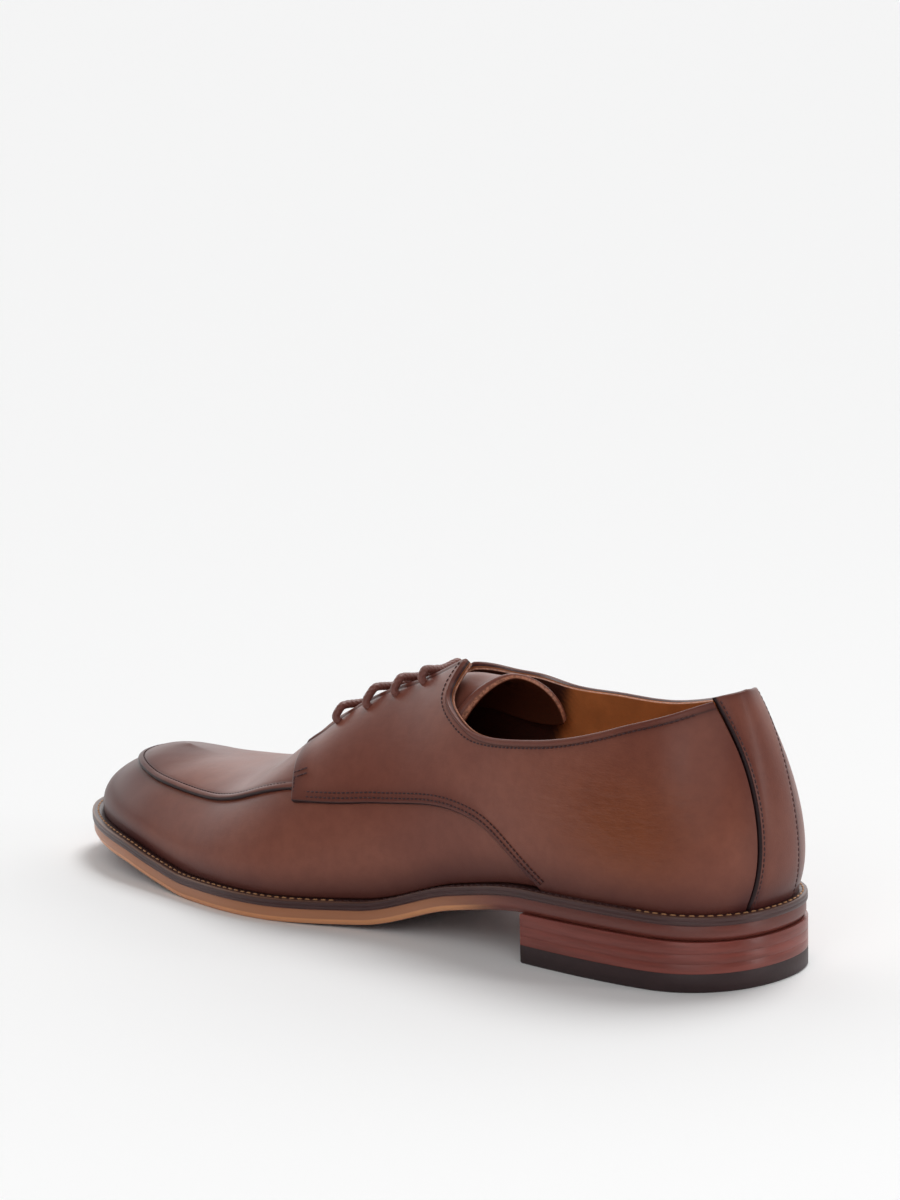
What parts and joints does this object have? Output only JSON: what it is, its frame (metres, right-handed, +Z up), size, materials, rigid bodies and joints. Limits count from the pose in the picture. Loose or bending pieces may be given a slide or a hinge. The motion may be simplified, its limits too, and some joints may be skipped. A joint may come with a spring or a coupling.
{
  "type": "derby shoe",
  "caption": "Leather derby dress shoe for the left foot, with a raised apron, open lacing, a welted leather sole and a stacked heel.",
  "frame": {"origin": "on the floor, under the middle of the shoe's box", "axes": "+X towards the toe along the shoe's length, +Y towards the outer side of the left foot, +Z up"},
  "size_m": [0.303, 0.0986, 0.0904],
  "materials": {
    "upper_leather": "burnished brown, semi-gloss",
    "lining_leather": "tan, matt",
    "welt_leather": "dark brown, waxed",
    "sole_leather": "tan brown, waxed edge",
    "stack_leather": "red-brown, polished edge",
    "heel_rubber": "dark brown, matt",
    "lace_cord": "waxed round braid"
  },
  "bodies": {
    "root": {"upper": "upper_leather", "quarter_outer": "upper_leather", "quarter_inner": "upper_leather", "apron": "upper_leather", "backstay": "upper_leather", "tongue": "upper_leather", "insole": "lining_leather", "welt": "welt_leather", "outsole": "sole_leather", "heel_lift_1": "stack_leather", "heel_lift_2": "stack_leather", "heel_lift_3": "stack_leather", "top_piece": "heel_rubber", "lace_bar_1": "lace_cord", "lace_bar_2": "lace_cord", "lace_bar_3": "lace_cord", "lace_bar_4": "lace_cord"}
  },
  "joints": []
}
